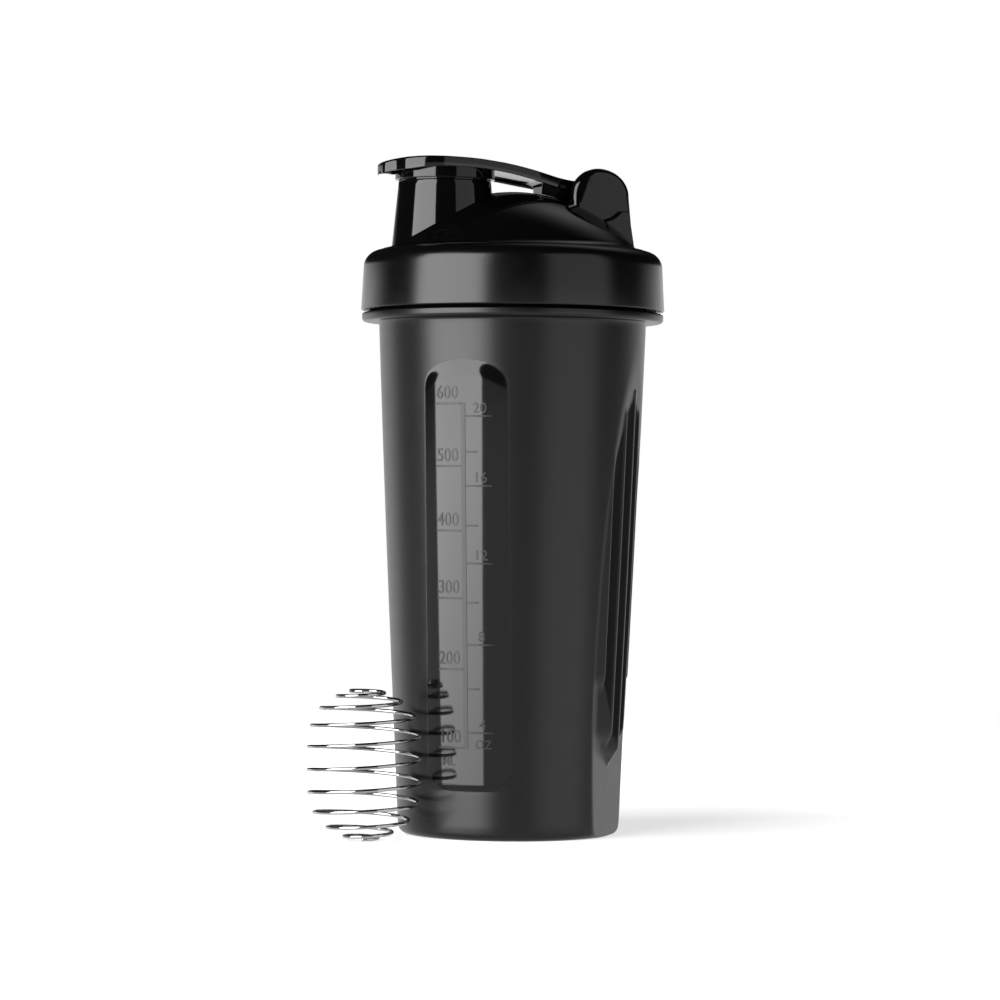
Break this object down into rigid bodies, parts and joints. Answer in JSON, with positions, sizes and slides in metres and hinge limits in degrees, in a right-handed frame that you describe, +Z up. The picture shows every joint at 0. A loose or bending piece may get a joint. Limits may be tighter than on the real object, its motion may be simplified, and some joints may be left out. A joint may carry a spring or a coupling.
{
  "type": "protein shaker bottle",
  "caption": "Tapered shaker cup with a volume window and side grips, a domed screw lid with a flip cap over its spout, and a loose wire mixing ball.",
  "frame": {"origin": "on the bottle's axis, in the plane of its foot ring, which stands on the surface", "axes": "+Z up along the bottle's axis, -X towards the spout and the thumb lip, +X towards the flip cap's hinge, the hinge axis along Y"},
  "size_m": [0.119, 0.0974, 0.2165],
  "materials": {
    "cup_plastic": "satin charcoal black, glossy in the window strip",
    "collar_plastic": "satin charcoal black",
    "lid_gloss_plastic": "polished black",
    "cap_gloss_plastic": "polished black",
    "soft_seal": "soft matte black",
    "pin_steel": "drawn steel",
    "ball_steel": "electropolished stainless wire"
  },
  "bodies": {
    "cup": {"bottle_cup": "cup_plastic"},
    "seal": {"lid_gasket": "soft_seal"},
    "lid": {"lid_collar": "collar_plastic", "lid_top": "lid_gloss_plastic", "hinge_pin": "pin_steel"},
    "cap": {"flip_cap": "cap_gloss_plastic", "spout_seal": "soft_seal"},
    "ball": {"mixing_ball": "ball_steel"}
  },
  "joints": [
    {"name": "lid_rise", "type": "slide", "parent": "cup", "child": "seal", "axis": [0, 0, 1], "range_m": [0, 0.0075]},
    {"name": "lid_turn", "type": "hinge", "parent": "seal", "child": "lid", "pos_m": [0, 0, 0.18], "axis": [0, 0, 1], "range_deg": [0, 450]},
    {"name": "cap_flip", "type": "hinge", "parent": "lid", "child": "cap", "pos_m": [0.0263, 0, 0.2046], "axis": [0, 1, 0], "range_deg": [0, 180]},
    {"name": "ball_lift", "type": "slide", "parent": "cup", "child": "ball", "axis": [-0.3786, -0.129, 0.9165], "range_m": [0, 0.2]}
  ],
  "couplings": [
    {"joint": "lid_rise", "follows": "lid_turn", "m_per_rad": 0.00095493}
  ]
}
